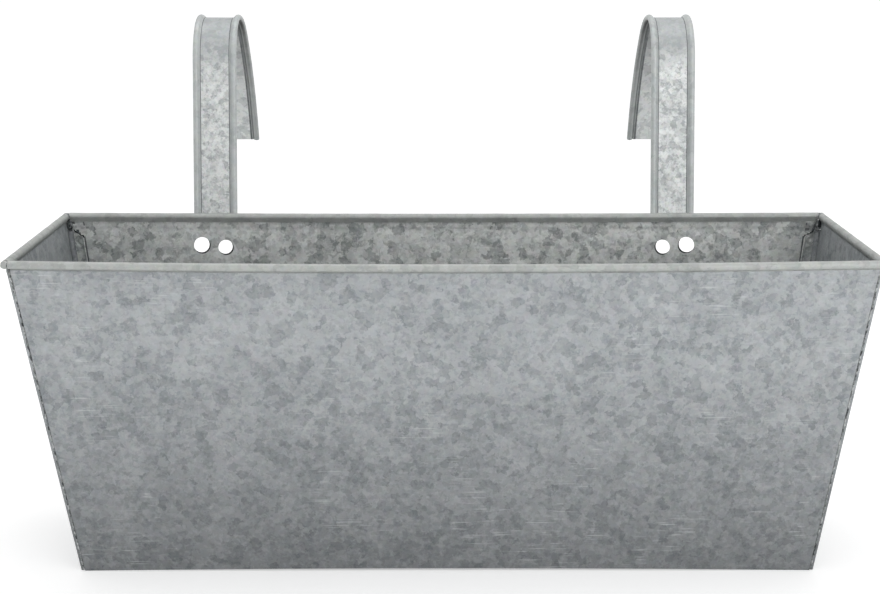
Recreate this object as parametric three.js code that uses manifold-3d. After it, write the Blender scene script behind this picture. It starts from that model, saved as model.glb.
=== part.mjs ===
// Window box planter: a flared trough folded from galvanised sheet, with a rim that is rolled over a
// wire, hung from a rail by two strap hooks whose edges are rolled over wires too.
//
// Units are millimetres. +X runs along the trough, +Y points to the rail behind it and +Z is up.
// The origin is the middle of the underside of the base.

import * as THREE from 'three';
import { mergeVertices } from 'three/addons/utils/BufferGeometryUtils.js';
import Module from 'manifold-3d';

const wasm = await Module();
wasm.setup();

// ---------------------------------------------------------------------------------------------
// Driving dimensions
// ---------------------------------------------------------------------------------------------

// Trough, measured over the metal
const rimLength = 600;
const rimDepth = 190;
const rimHeight = 236;
const baseLength = 532;
const baseDepth = 123;
const sheet = 0.7;

// Fits
const seat = 0.3; // between two pieces that lie on each other
const foldThinning = 0.05; // what each face of a sheet loses where it is folded or hammered flat

// Rolled rim
const rimWireDiameter = 4.4;
const rimWireOverWall = 0.5; // the wire's centre stands this far outside the wall's inner face
const rimNeck = 0.5; // height of the lean-in below the roll
const rimCurlEnd = -88; // where a roll's edge comes back to the outside of its wall, in degrees
const rimWireBend = 3; // centre-line radius of the wire at a corner
const rimWrap = 0.8; // how far a roll follows the wire into its bend
const rimWireJoint = 0.6; // gap where the two ends of the wire meet, behind the back panel

// Corner laps
const footGap = 0.5; // the walls stop this far above the underside of the base
const cornerReveal = 2.5; // front and back panels stop this far short of the corner
const cornerFoldRadius = 1.6;
const flangeWidth = 12;
const flangeTopAtCorner = 12.4; // below the top of the rim
const flangeTopAtEdge = 18.6; // below the top of the rim
const flangeTuck = 3; // how far a fold's root runs inside the end panel
const flangeAboveTray = 1.2; // the flanges are cut away to this far above the tray's upturned edge

// Solder runs in the corner laps
const solderWidth = 1.4;
const solderHeight = 0.6;
const solderHollow = 0.42; // the run's hollow face lies at this share of its width and height
const solderWaviness = 0.35; // share of the width that comes and goes along the run
const solderWavePitches = [7, 17]; // lengths of the two waves that the width follows
const solderTopBelowRim = 12;

// Base
const trayFlangeHeight = 12;
const trayFoldRadius = 1.5;
const trayCornerSlot = 6; // the upturned flanges stop this far short of the corners
const trayCornerNotch = 3.6; // clears the folded corners of the end panels
const drainHoleDiameter = 10;
const drainHolePitch = 150;
const drainHoleCount = 4;

// Strap hooks
const hookSpacing = 363; // centre to centre
const hookWidth = 34.4;
const strapThickness = 0.8;
const hookWireDiameter = 2.6;
const hookWireOffset = 0.4; // the edge wires lie this far outside the middle of the strap
const strapNeck = 0.6; // width of the lean-in beside an edge roll
const strapCurlEnd = -72; // where an edge roll's own edge comes back to the inside of the arch, in degrees
const hookToRim = 0.5; // the edge rolls clear the rolled rim by this much
const armLean = 10; // degrees back from upright
const armLength = 123; // from the height of the rim wire up to the arch
const archFrontRadius = 36;
const archBackRadius = 63;
const archBackTurn = 40; // degrees
const legRadius = 240;
const legTurn = 29; // degrees
const rollTail = 3; // the edge rolls start this far below the rim wire's height

// Flat tongue of a hook, on the outside of the back panel
const tongueHalfWidth = 23;
const tongueRootHalfWidth = 11.5; // where it runs into the arm, between the edge rolls
const tongueRootTuck = 3; // how far its root runs inside the arm
const joggleTop = 3.4; // below the rim wire's height
const joggleBottom = 14.4; // below the rim wire's height
const joggleHandle = 4.5; // stiffness of the S-bend at either end
const tongueEndHeight = 128;
const tongueCornerRadius = 14;

// Tie holes, a pair through the back panel and each tongue
const tieHoleOuterDiameter = 13.1;
const tieHoleInnerDiameter = 12.1;
const tieHoleSpacing = 18.7;
const tiePairOutboard = 0.9; // the pair's middle stands outboard of the hook's
const tieHoleOuterBelowRim = 24.9;
const tieHoleInnerBelowRim = 26.5;
const tongueHoleUndersize = 0.3; // the tongue's holes are this much smaller in diameter
const tongueHoleMisfit = 0.5; // and lie this far outboard and up, as punched by hand

// Rivets, three to a hook
const rivetShankDiameter = 4;
const rivetHeadDiameter = 8.4;
const rivetHeadHeight = 1.7;
const rivetPitch = 24;
const rivetUpperHeight = 168;
const rivetLowerHeight = 144;

// Facets
const curlStep = 15; // degrees
const strapCurlStep = 22.5; // degrees
const wireSides = 16;
const rimBendStep = 15; // degrees
const hookWireSides = 10;
const archFrontSteps = 8;
const archBackSteps = 5;
const legSteps = 5;
const foldSteps = 4;
const holeSides = 24;
const rivetSides = 14;
const rivetDomeSteps = 3;
const solderSteps = 24;
const joggleSteps = 7;
const tongueEndSteps = 6;

// ---------------------------------------------------------------------------------------------
// Values that follow from the driving dimensions
// ---------------------------------------------------------------------------------------------

const degrees = THREE.MathUtils.degToRad;

const rimRollRadius = rimWireDiameter / 2 + seat + sheet;
const rimWireX = rimLength / 2 - rimRollRadius;
const rimWireY = rimDepth / 2 - rimRollRadius;
const rimWireZ = rimHeight - rimRollRadius;

// Half length and half depth over the outer faces of the walls at a height
const lengthSlope = (rimWireX - rimWireOverWall + sheet - baseLength / 2) / rimWireZ;
const depthSlope = (rimWireY - rimWireOverWall + sheet - baseDepth / 2) / rimWireZ;
const outerX = (z) => baseLength / 2 + lengthSlope * z;
const outerY = (z) => baseDepth / 2 + depthSlope * z;
const backWallLean = Math.atan(depthSlope);

const hookRollRadius = hookWireDiameter / 2 + seat + strapThickness;
const hookX = hookSpacing / 2;
const armY = rimDepth / 2 + hookToRim + hookRollRadius + hookWireOffset;
const tongueThickness = strapThickness - 2 * foldThinning;
const rivetHoleDiameter = rivetShankDiameter + 2 * seat;
const holeCoreLength = 10 * (sheet + seat + strapThickness); // runs well past the wall and the tongue

// ---------------------------------------------------------------------------------------------
// Geometry helpers
// ---------------------------------------------------------------------------------------------

// Skins an outline, placed at each station in turn, and closes both ends.
function loft(outline, stations, place) {
  const ring = THREE.ShapeUtils.area(outline) < 0 ? [...outline].reverse() : outline;
  const count = ring.length;
  const points = stations.flatMap((station) => ring.map((point) => place(point, station)));
  const faces = [];
  for (let row = 0; row < stations.length - 1; row++) {
    for (let i = 0; i < count; i++) {
      const next = (i + 1) % count;
      const a = row * count + i;
      const b = row * count + next;
      faces.push([a, b, b + count], [a, b + count, a + count]);
    }
  }
  const last = (stations.length - 1) * count;
  for (const [a, b, c] of THREE.ShapeUtils.triangulateShape(ring, [])) {
    const turn = ring[b].clone().sub(ring[a]).cross(ring[c].clone().sub(ring[a]));
    const [d, e, f] = turn > 0 ? [a, b, c] : [a, c, b];
    faces.push([last + d, last + e, last + f], [f, e, d]);
  }
  return closedGeometry(points, faces);
}

// A geometry from points and faces, turned so that its faces point out.
function closedGeometry(points, faces) {
  const volume = faces.reduce(
    (sum, [a, b, c]) => sum + points[a].dot(points[b].clone().cross(points[c])),
    0,
  );
  const outward = volume > 0 ? faces : faces.map(([a, b, c]) => [a, c, b]);
  const geometry = new THREE.BufferGeometry();
  geometry.setAttribute('position', new THREE.Float32BufferAttribute(points.flatMap((p) => p.toArray()), 3));
  geometry.setIndex(outward.flat());
  return geometry;
}

function toSolid(geometry) {
  const bare = geometry.clone();
  bare.deleteAttribute('normal');
  bare.deleteAttribute('uv');
  const merged = mergeVertices(bare);
  return new wasm.Manifold(
    new wasm.Mesh({
      numProp: 3,
      vertProperties: new Float32Array(merged.attributes.position.array),
      triVerts: new Uint32Array(merged.index.array),
    }),
  );
}

function toGeometry(solid) {
  const mesh = solid.getMesh();
  const geometry = new THREE.BufferGeometry();
  geometry.setAttribute('position', new THREE.BufferAttribute(new Float32Array(mesh.vertProperties), 3));
  geometry.setIndex(new THREE.BufferAttribute(new Uint32Array(mesh.triVerts), 1));
  return geometry;
}

const roundingGuard = 1e-6; // keeps a whole number of steps from being rounded up to one more

// The angles from one to another, in steps no longer than the one given.
function angles(from, to, step) {
  const count = Math.ceil(Math.abs(to - from) / step - roundingGuard);
  return Array.from({ length: count + 1 }, (_, i) => from + ((to - from) * i) / count);
}

const polar = (radius, angle) => new THREE.Vector2(Math.cos(angle), Math.sin(angle)).multiplyScalar(radius);

const circle = (radius, sides) =>
  Array.from({ length: sides }, (_, i) => polar(radius, (2 * Math.PI * i) / sides));

// A straight prism between two planes across an axis: the outline's x and y are the other two axes.
function prism(outline, axis, from, to) {
  const place = {
    x: (p, at) => new THREE.Vector3(at, p.x, p.y),
    y: (p, at) => new THREE.Vector3(p.x, at, p.y),
    z: (p, at) => new THREE.Vector3(p.x, p.y, at),
  };
  return loft(outline, [from, to], place[axis]);
}

const box = (x0, x1, y0, y1, z0, z1) =>
  prism(
    [[x0, y0], [x1, y0], [x1, y1], [x0, y1]].map(([x, y]) => new THREE.Vector2(x, y)),
    'z',
    z0,
    z1,
  );

// The corner b of a path a-b-c, rounded to a radius.
function roundedCorner(a, b, c, radius) {
  const toA = a.clone().sub(b).normalize();
  const toC = c.clone().sub(b).normalize();
  const half = Math.acos(toA.dot(toC)) / 2;
  const centre = toA.clone().add(toC).normalize().multiplyScalar(radius / Math.sin(half)).add(b);
  const start = toA.clone().multiplyScalar(radius / Math.tan(half)).add(b).sub(centre);
  const end = toC.clone().multiplyScalar(radius / Math.tan(half)).add(b).sub(centre);
  const sweep = Math.atan2(start.cross(end), start.dot(end));
  return angles(0, sweep, Math.abs(sweep) / foldSteps).map((turn) =>
    start.clone().rotateAround(new THREE.Vector2(), turn).add(centre),
  );
}

// The section of a sheet's edge that is rolled over a wire, about the wire's centre. The sheet comes
// up along y. x points to the side on which the roll's own edge comes back to the sheet. The flat
// sheet's face on that side lies at faceOffset + slope * y. The points run from the neck on that
// face, round the inside of the roll to its edge, and back round the outside to the other face.
function rolledEdge({ wireDiameter, thickness, faceOffset, slope, neck, curlEnd, step }) {
  const inner = wireDiameter / 2 + seat;
  const outer = inner + thickness;
  const neckY = -(outer + neck);
  const neckPoint = new THREE.Vector2(faceOffset + slope * neckY, neckY);
  const start = neckPoint.angle() - Math.acos(inner / neckPoint.length());
  const turns = angles(start, degrees(curlEnd), degrees(step));
  const lean = neckPoint.clone().sub(polar(inner, start)).normalize();
  const leave = polar(outer, start);
  const reach = (faceOffset - thickness + slope * leave.y - leave.x) / (lean.x - slope * lean.y);
  return [
    neckPoint,
    ...turns.map((turn) => polar(inner, turn)),
    ...[...turns].reverse().map((turn) => polar(outer, turn)),
    leave.clone().addScaledVector(lean, reach),
  ];
}

// A round hole's core, square to the back wall, at a place on its outer face.
function holeThroughBackWall(x, z, diameter, sides) {
  const core = new THREE.CylinderGeometry(diameter / 2, diameter / 2, holeCoreLength, sides);
  return core.applyMatrix4(onBackWall(x, z));
}

// The place and turn of something whose own +Y axis stands square to the back wall's outer face.
function onBackWall(x, z) {
  const turn = new THREE.Matrix4().makeRotationX(-backWallLean);
  return turn.setPosition(x, outerY(z), z);
}

// ---------------------------------------------------------------------------------------------
// Trough panels
// ---------------------------------------------------------------------------------------------

// Section of a wall with its rolled top: x is the distance out from the middle and y the height.
function wallSection(outerAt, wireOut, slope) {
  const roll = rolledEdge({
    wireDiameter: rimWireDiameter,
    thickness: sheet,
    faceOffset: sheet - rimWireOverWall,
    slope,
    neck: rimNeck,
    curlEnd: rimCurlEnd,
    step: curlStep,
  });
  return [
    new THREE.Vector2(outerAt(footGap), footGap),
    ...roll.map((p) => new THREE.Vector2(p.x + wireOut, p.y + rimWireZ)),
    new THREE.Vector2(outerAt(footGap) - sheet, footGap),
  ];
}

// How far along a wall its section reaches: the flat sheet to its own edge, the roll to the bend of
// the wire or to the mitre with the next roll, whichever comes first.
function wallReach(point, wireOut, wireAlong, flatReach) {
  if (point.y < rimWireZ - rimRollRadius) return flatReach(point.y);
  const square = wireAlong - rimWireBend + rimWrap;
  const mitre = wireAlong - seat - (wireOut - point.x);
  return Math.min(square, mitre);
}

// The long panels. side is -1 for the front and 1 for the back.
function longPanel(side) {
  const section = wallSection(outerY, rimWireY, depthSlope);
  return loft(section, [-1, 1], (p, end) => {
    const reach = wallReach(p, rimWireY, rimWireX, (z) => outerX(z) - cornerReveal);
    return new THREE.Vector3(end * reach, side * p.x, p.y);
  });
}

// The back panel, with the holes that it shares with the tongues of the hooks.
function backPanel() {
  let panel = toSolid(longPanel(1));
  for (const end of [-1, 1]) {
    for (const hole of tieHoles(end)) {
      const core = holeThroughBackWall(hole.x, hole.z, hole.diameter, holeSides);
      panel = panel.subtract(toSolid(core));
    }
    for (const rivet of Object.values(rivetPlaces(end))) {
      const core = holeThroughBackWall(rivet.x, rivet.z, rivetHoleDiameter, rivetSides);
      panel = panel.subtract(toSolid(core));
    }
  }
  return toGeometry(panel);
}

const lapY = (z) => outerY(z) - sheet - seat; // outer face of an end panel's flange
const lapX = (z) => outerX(z) - sheet - seat; // outer face of the base tray's end flanges

// One folded flange of an end panel, with its root inside the end panel's sheet.
function cornerFlange(side, end) {
  const thickness = sheet - 2 * foldThinning;
  const turns = angles(0, -Math.PI / 2, Math.PI / 2 / foldSteps);
  const arc = (radius) => turns.map((turn) => polar(radius, turn));
  // x is measured from the end panel's outer face and is negative towards the middle of the trough.
  // y is measured from the flange's outer face and is positive towards the middle. The fold's centre
  // lies one fold radius inside both faces.
  const toCorner = (p) => new THREE.Vector2(p.x - foldThinning - cornerFoldRadius, p.y + cornerFoldRadius);
  const outline = [
    new THREE.Vector2(-foldThinning, cornerFoldRadius + flangeTuck),
    ...arc(cornerFoldRadius).map(toCorner),
    new THREE.Vector2(-flangeWidth, 0),
    new THREE.Vector2(-flangeWidth, thickness),
    ...arc(cornerFoldRadius - thickness).reverse().map(toCorner),
    new THREE.Vector2(-foldThinning - thickness, cornerFoldRadius + flangeTuck),
  ];
  const top = rimHeight - flangeTopAtCorner;
  const place = (p, z) => new THREE.Vector3(end * (outerX(z) + p.x), side * (lapY(z) - p.y), z);
  const strip = toSolid(loft(outline, [footGap, top], place));

  const foldX = outerX(top) - cornerFoldRadius;
  const edgeX = outerX(top) - flangeWidth;
  const edgeTop = rimHeight - flangeTopAtEdge;
  const fall = (top - edgeTop) / (foldX - edgeX);
  const topCut = [
    new THREE.Vector2(end * foldX, top),
    new THREE.Vector2(end * foldX, rimHeight),
    new THREE.Vector2(end * (edgeX - flangeWidth), rimHeight),
    new THREE.Vector2(end * (edgeX - flangeWidth), edgeTop - fall * flangeWidth),
  ];
  const rootX = outerX(0) - trayCornerSlot / 2;
  const clearOfTray = trayFlangeHeight + flangeAboveTray;
  const bottomCut = [
    new THREE.Vector2(end * rootX, 0),
    new THREE.Vector2(end * (rootX + lengthSlope * clearOfTray), clearOfTray),
    new THREE.Vector2(end * (rootX - flangeWidth), clearOfTray + fall * flangeWidth),
    new THREE.Vector2(end * (rootX - flangeWidth), 0),
  ];
  return strip
    .subtract(toSolid(prism(topCut, 'y', -rimDepth, rimDepth)))
    .subtract(toSolid(prism(bottomCut, 'y', -rimDepth, rimDepth)));
}

// The short panels, with a flange folded in at either edge. end is -1 for the left and 1 for the right.
function endPanel(end) {
  const section = wallSection(outerX, rimWireX, lengthSlope);
  const plate = loft(section, [-1, 1], (p, side) => {
    const reach = wallReach(p, rimWireX, rimWireY, (z) => lapY(z) - cornerFoldRadius);
    return new THREE.Vector3(end * p.x, side * reach, p.y);
  });
  return toGeometry(toSolid(plate).add(cornerFlange(-1, end)).add(cornerFlange(1, end)));
}

// An uneven fillet of solder in the step between a long panel's edge and the folded corner.
function cornerSolder(side, end) {
  const corners = [[0, 0], [1, 0], [solderHollow, solderHollow], [0, 1]];
  const outline = corners.map(([x, y]) => new THREE.Vector2(x, y));
  const top = rimHeight - solderTopBelowRim;
  const bottom = footGap + seat;
  const heights = Array.from({ length: solderSteps + 1 }, (_, i) => bottom + ((top - bottom) * i) / solderSteps);
  const [shortWave, longWave] = solderWavePitches.map((pitch) => (2 * Math.PI) / pitch);
  return loft(outline, heights, (p, z) => {
    const wave = (Math.sin(z * shortWave + side) + Math.sin(z * longWave + 2 * end)) / 2;
    const width = solderWidth * (1 - solderWaviness / 2 + (solderWaviness / 2) * wave);
    const along = outerX(z) - cornerReveal + seat + p.x * width;
    const out = lapY(z) + seat + p.y * solderHeight;
    return new THREE.Vector3(end * Math.min(along, outerX(z) - seat), side * out, z);
  });
}

// ---------------------------------------------------------------------------------------------
// Base tray
// ---------------------------------------------------------------------------------------------

// A tray's section across one axis: a flat floor that turns up at both ends along the walls.
function traySection(halfAt, floor, top, radius) {
  const at = (sign, z) => new THREE.Vector2(sign * halfAt(z), z);
  const middle = new THREE.Vector2(0, floor);
  return [
    at(-1, top),
    ...roundedCorner(at(-1, top), at(-1, floor), middle, radius),
    ...roundedCorner(middle, at(1, floor), at(1, top), radius),
    at(1, top),
  ];
}

function trayBlock(inset, floor, top, radius) {
  const alongX = traySection((z) => lapX(z) - inset, floor, top, radius);
  const alongY = traySection((z) => lapY(z) - inset, floor, top, radius);
  return toSolid(prism(alongX, 'y', -rimDepth, rimDepth)).intersect(
    toSolid(prism(alongY, 'x', -rimLength, rimLength)),
  );
}

function baseTray() {
  const outside = trayBlock(0, 0, trayFlangeHeight, trayFoldRadius);
  const inside = trayBlock(sheet, sheet, 2 * trayFlangeHeight, trayFoldRadius - sheet);
  let tray = outside.subtract(inside);
  const corners = [[-1, -1], [1, -1], [1, 1], [-1, 1]];
  for (const [sx, sy] of corners) {
    const slot = box(
      sx * (outerX(0) - trayCornerSlot), sx * rimLength,
      sy * (outerY(0) - trayCornerSlot), sy * rimDepth,
      trayFoldRadius, 2 * trayFlangeHeight,
    );
    const notch = box(
      sx * (outerX(0) - trayCornerNotch), sx * rimLength,
      sy * (lapY(0) - sheet - seat), sy * rimDepth,
      -sheet, 2 * trayFlangeHeight,
    );
    tray = tray.subtract(toSolid(slot)).subtract(toSolid(notch));
  }
  for (let i = 0; i < drainHoleCount; i++) {
    const x = (i - (drainHoleCount - 1) / 2) * drainHolePitch;
    const core = prism(circle(drainHoleDiameter / 2, holeSides), 'z', -sheet, 2 * sheet);
    tray = tray.subtract(toSolid(core.translate(x, 0, 0)));
  }
  return toGeometry(tray);
}

// ---------------------------------------------------------------------------------------------
// Rim wire
// ---------------------------------------------------------------------------------------------

// The wire's centre line in plan, from the joint behind the back panel round all four corners.
function rimWire() {
  const cornerX = rimWireX - rimWireBend;
  const cornerY = rimWireY - rimWireBend;
  const corners = [[1, 1, 90], [1, -1, 0], [-1, -1, -90], [-1, 1, -180]];
  const stations = [{ x: rimWireJoint / 2, y: rimWireY, turn: degrees(90) }];
  for (const [sx, sy, start] of corners) {
    for (const turn of angles(degrees(start), degrees(start - 90), degrees(rimBendStep))) {
      const bend = polar(rimWireBend, turn);
      stations.push({ x: sx * cornerX + bend.x, y: sy * cornerY + bend.y, turn });
    }
  }
  stations.push({ x: -rimWireJoint / 2, y: rimWireY, turn: degrees(90) });
  return loft(circle(rimWireDiameter / 2, wireSides), stations, (p, at) => {
    const out = polar(p.x, at.turn);
    return new THREE.Vector3(at.x + out.x, at.y + out.y, rimWireZ + p.y);
  });
}

// ---------------------------------------------------------------------------------------------
// Strap hooks
// ---------------------------------------------------------------------------------------------

// The middle of the strap, seen from the side: up the arm, over the arch and down the leg.
function hookPath() {
  let heading = degrees(90 - armLean);
  const startLength = rollTail / Math.cos(degrees(armLean));
  const start = new THREE.Vector2(armY, rimWireZ).addScaledVector(polar(1, heading), -startLength);
  const stations = [{ y: start.x, z: start.y, heading }];
  let at = start.clone().addScaledVector(polar(1, heading), startLength + armLength);
  const bends = [
    [archFrontRadius, heading, archFrontSteps],
    [archBackRadius, degrees(archBackTurn), archBackSteps],
    [legRadius, degrees(legTurn), legSteps],
  ];
  stations.push({ y: at.x, z: at.y, heading });
  for (const [radius, turn, steps] of bends) {
    const centre = at.clone().add(polar(radius, heading - Math.PI / 2));
    for (let i = 1; i <= steps; i++) {
      const now = heading - (turn * i) / steps;
      const point = polar(radius, now + Math.PI / 2).add(centre);
      stations.push({ y: point.x, z: point.y, heading: now });
    }
    heading -= turn;
    at = polar(radius, heading + Math.PI / 2).add(centre);
  }
  return stations;
}

// A point of a section across the strap: x runs along +X and y out of the arch.
function acrossStrap(x, point, station) {
  const out = polar(point.y, station.heading + Math.PI / 2);
  return new THREE.Vector3(x + point.x, station.y + out.x, station.z + out.y);
}

// Both edges are rolled towards the inside of the arch, so that the outside of the strap is smooth.
function strapSection() {
  const wireAt = hookWidth / 2 - hookRollRadius;
  const roll = rolledEdge({
    wireDiameter: hookWireDiameter,
    thickness: strapThickness,
    faceOffset: strapThickness / 2 + hookWireOffset,
    slope: 0,
    neck: strapNeck,
    curlEnd: strapCurlEnd,
    step: strapCurlStep,
  });
  const right = roll.map((p) => new THREE.Vector2(wireAt + p.y, hookWireOffset - p.x));
  const left = right.map((p) => new THREE.Vector2(-p.x, p.y)).reverse();
  return [...right, ...left];
}

// The flat tongue: inside the arm's root, round the joggle behind the rim and down the back wall.
function tongue(x) {
  const arm = polar(1, degrees(90 - armLean));
  const wall = polar(1, Math.PI / 2 - backWallLean);
  const armAt = (below) => new THREE.Vector2(armY, rimWireZ).addScaledVector(arm, -below);
  const wallAt = (z) => new THREE.Vector2(outerY(z) + seat + strapThickness / 2, z);
  const root = armAt(rollTail - tongueRootTuck);
  const top = armAt(joggleTop);
  const foot = wallAt(rimWireZ - joggleBottom);
  const joggle = new THREE.CubicBezierCurve(
    top,
    top.clone().addScaledVector(arm, -joggleHandle),
    foot.clone().addScaledVector(wall, joggleHandle),
    foot,
  );
  const stations = [{ at: root, tangent: arm.clone().negate(), half: tongueRootHalfWidth }];
  for (let i = 0; i <= joggleSteps; i++) {
    const share = i / joggleSteps;
    const widen = THREE.MathUtils.smoothstep(share, 0, 1);
    const half = THREE.MathUtils.lerp(tongueRootHalfWidth, tongueHalfWidth, widen);
    stations.push({ at: joggle.getPoint(share), tangent: joggle.getTangent(share), half });
  }
  for (const turn of angles(0, Math.PI / 2, Math.PI / 2 / tongueEndSteps)) {
    const round = polar(tongueCornerRadius, turn);
    const at = wallAt(tongueEndHeight + tongueCornerRadius - round.y);
    const half = tongueHalfWidth - tongueCornerRadius + round.x;
    stations.push({ at, tangent: wall.clone().negate(), half });
  }
  const outline = [[-1, -1], [1, -1], [1, 1], [-1, 1]].map(([u, v]) => new THREE.Vector2(u, v));
  return loft(outline, stations, (p, station) => {
    const across = new THREE.Vector2(-station.tangent.y, station.tangent.x);
    const point = station.at.clone().addScaledVector(across, (p.y * tongueThickness) / 2);
    return new THREE.Vector3(x + p.x * station.half, point.x, point.y);
  });
}

// Tie holes of one hook: place across, place up and diameter in the back panel.
function tieHoles(end) {
  const middle = hookX + tiePairOutboard;
  const outer = [middle + tieHoleSpacing / 2, rimHeight - tieHoleOuterBelowRim, tieHoleOuterDiameter];
  const inner = [middle - tieHoleSpacing / 2, rimHeight - tieHoleInnerBelowRim, tieHoleInnerDiameter];
  return [outer, inner].map(([x, z, diameter]) => ({ x: end * x, z, diameter }));
}

function rivetPlaces(end) {
  const x = end * hookX;
  return {
    outer: { x: x + (end * rivetPitch) / 2, z: rivetUpperHeight },
    inner: { x: x - (end * rivetPitch) / 2, z: rivetUpperHeight },
    lower: { x, z: rivetLowerHeight },
  };
}

function hookStrap(end) {
  const x = end * hookX;
  const arm = loft(strapSection(), hookPath(), (p, at) => acrossStrap(x, p, at));
  let strap = toSolid(arm).add(toSolid(tongue(x)));
  for (const hole of tieHoles(end)) {
    const diameter = hole.diameter - tongueHoleUndersize;
    const place = [hole.x + end * tongueHoleMisfit, hole.z + tongueHoleMisfit];
    const core = holeThroughBackWall(...place, diameter, holeSides);
    strap = strap.subtract(toSolid(core));
  }
  for (const rivet of Object.values(rivetPlaces(end))) {
    const core = holeThroughBackWall(rivet.x, rivet.z, rivetHoleDiameter, rivetSides);
    strap = strap.subtract(toSolid(core));
  }
  return toGeometry(strap);
}

function hookWire(end, edge) {
  const across = end * (hookX + edge * (hookWidth / 2 - hookRollRadius));
  return loft(circle(hookWireDiameter / 2, hookWireSides), hookPath(), (p, at) =>
    acrossStrap(across, new THREE.Vector2(p.x, p.y + hookWireOffset), at),
  );
}

// ---------------------------------------------------------------------------------------------
// Rivets
// ---------------------------------------------------------------------------------------------

// A domed rivet, set from both sides. Its own Y axis runs from inside the trough to the outside.
function rivet() {
  const shank = rivetShankDiameter / 2;
  const head = rivetHeadDiameter / 2;
  const insideFace = -(sheet + seat);
  const outsideFace = seat + strapThickness + seat;
  const quarter = Math.PI / 2;
  const dome = angles(0, quarter, quarter / rivetDomeSteps).map((turn) => polar(1, turn));
  const profile = [
    ...dome.map((p) => new THREE.Vector2(head * p.x, insideFace - rivetHeadHeight * p.y)).reverse(),
    new THREE.Vector2(shank, insideFace),
    new THREE.Vector2(shank, outsideFace),
    ...dome.map((p) => new THREE.Vector2(head * p.x, outsideFace + rivetHeadHeight * p.y)),
  ];
  profile[0].x = 0;
  profile[profile.length - 1].x = 0;
  return new THREE.LatheGeometry(profile, rivetSides);
}

// ---------------------------------------------------------------------------------------------
// Assembly
// ---------------------------------------------------------------------------------------------

const finishes = {
  panel: { color: '#a4a9aa', roughness: 0.5, metalness: 0.75 },
  base: { color: '#8b9194', roughness: 0.55, metalness: 0.75 },
  strap: { color: '#b4b8b8', roughness: 0.45, metalness: 0.8 },
  wire: { color: '#b9bcbd', roughness: 0.35, metalness: 0.9 },
  rivet: { color: '#9da2a4', roughness: 0.4, metalness: 0.9 },
  solder: { color: '#6d7071', roughness: 0.6, metalness: 0.6 },
};

const planter = new THREE.Group();

function addPiece(name, geometry, finish, parent = planter) {
  const mesh = new THREE.Mesh(geometry, new THREE.MeshStandardMaterial(finishes[finish]));
  mesh.name = name;
  parent.add(mesh);
  return mesh;
}

addPiece('front_panel', longPanel(-1), 'panel');
addPiece('back_panel', backPanel(), 'panel');
addPiece('base_tray', baseTray(), 'base');
addPiece('rim_wire', rimWire(), 'wire');

for (const [hand, end] of [['left', -1], ['right', 1]]) {
  addPiece(`${hand}_end_panel`, endPanel(end), 'panel');
  addPiece(`front_${hand}_corner_solder`, cornerSolder(-1, end), 'solder');
  addPiece(`back_${hand}_corner_solder`, cornerSolder(1, end), 'solder');

  const hook = new THREE.Group();
  planter.add(hook);
  addPiece(`${hand}_hook_strap`, hookStrap(end), 'strap', hook);
  addPiece(`${hand}_hook_outer_wire`, hookWire(end, 1), 'wire', hook);
  addPiece(`${hand}_hook_inner_wire`, hookWire(end, -1), 'wire', hook);
  for (const [place, { x, z }] of Object.entries(rivetPlaces(end))) {
    const piece = addPiece(`${hand}_hook_rivet_${place}`, rivet(), 'rivet', hook);
    piece.position.set(x, outerY(z), z);
    piece.rotation.x = -backWallLean;
  }
}

export default planter;
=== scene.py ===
"""A window box planter of galvanised sheet, dressed over its frame.

Lengths are metres in the frame of the model: +X runs along the trough, +Y points to the rail behind
it, +Z is up, and the origin is the middle of the underside of the base.
"""

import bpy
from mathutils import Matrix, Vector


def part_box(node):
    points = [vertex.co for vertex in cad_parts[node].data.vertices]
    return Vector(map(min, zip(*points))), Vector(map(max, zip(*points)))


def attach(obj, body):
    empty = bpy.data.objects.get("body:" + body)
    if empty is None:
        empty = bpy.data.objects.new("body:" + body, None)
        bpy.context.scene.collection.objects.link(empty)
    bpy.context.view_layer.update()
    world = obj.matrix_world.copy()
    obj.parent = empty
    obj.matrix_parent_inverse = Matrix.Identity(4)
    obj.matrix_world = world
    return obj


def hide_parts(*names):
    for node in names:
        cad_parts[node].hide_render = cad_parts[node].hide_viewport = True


bl_info = {
    "name": "Galvanised window box",
    "version": (1, 0, 0),
    "blender": (4, 5, 0),
    "location": "3D View > Sidebar > Planter",
    "description": "Builds a trough of wired-edge galvanised sheet with two strap hooks",
    "category": "Object",
}

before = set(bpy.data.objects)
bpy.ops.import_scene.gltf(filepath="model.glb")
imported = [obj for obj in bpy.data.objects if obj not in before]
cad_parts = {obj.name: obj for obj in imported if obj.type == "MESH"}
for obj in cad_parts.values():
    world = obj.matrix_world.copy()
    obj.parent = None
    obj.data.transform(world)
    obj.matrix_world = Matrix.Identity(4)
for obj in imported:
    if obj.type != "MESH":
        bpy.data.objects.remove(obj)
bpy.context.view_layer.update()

import math

import bmesh
import bpy
from bpy.props import FloatProperty, FloatVectorProperty, PointerProperty
from mathutils import Matrix, Vector, noise

MM = 0.001  # a millimetre, in metres
BODY = "root"
HANDS = (("left", -1), ("right", 1))

# Facets, chosen so that no edge shows at the size the object is seen
SHEET_STEP = 5 * MM
CREASE_STEP = 1.1 * MM
ROLL_STEP = math.radians(10)
FOLD_STEP = math.radians(15)
SHARP_ANGLE = math.radians(38)
# Points this close are one
WELD = 0.002 * MM
# The part of a wall near its roll and near its ends that may be creased, and takes the small steps
CREASED_HEIGHT = 18 * MM
CREASED_LENGTH = 15 * MM


def linear(hex_colour):
    """An sRGB hex colour as linear red, green and blue."""
    values = [int(hex_colour[i : i + 2], 16) / 255 for i in (1, 3, 5)]
    return tuple(v / 12.92 if v <= 0.04045 else ((v + 0.055) / 1.055) ** 2.4 for v in values)


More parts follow.
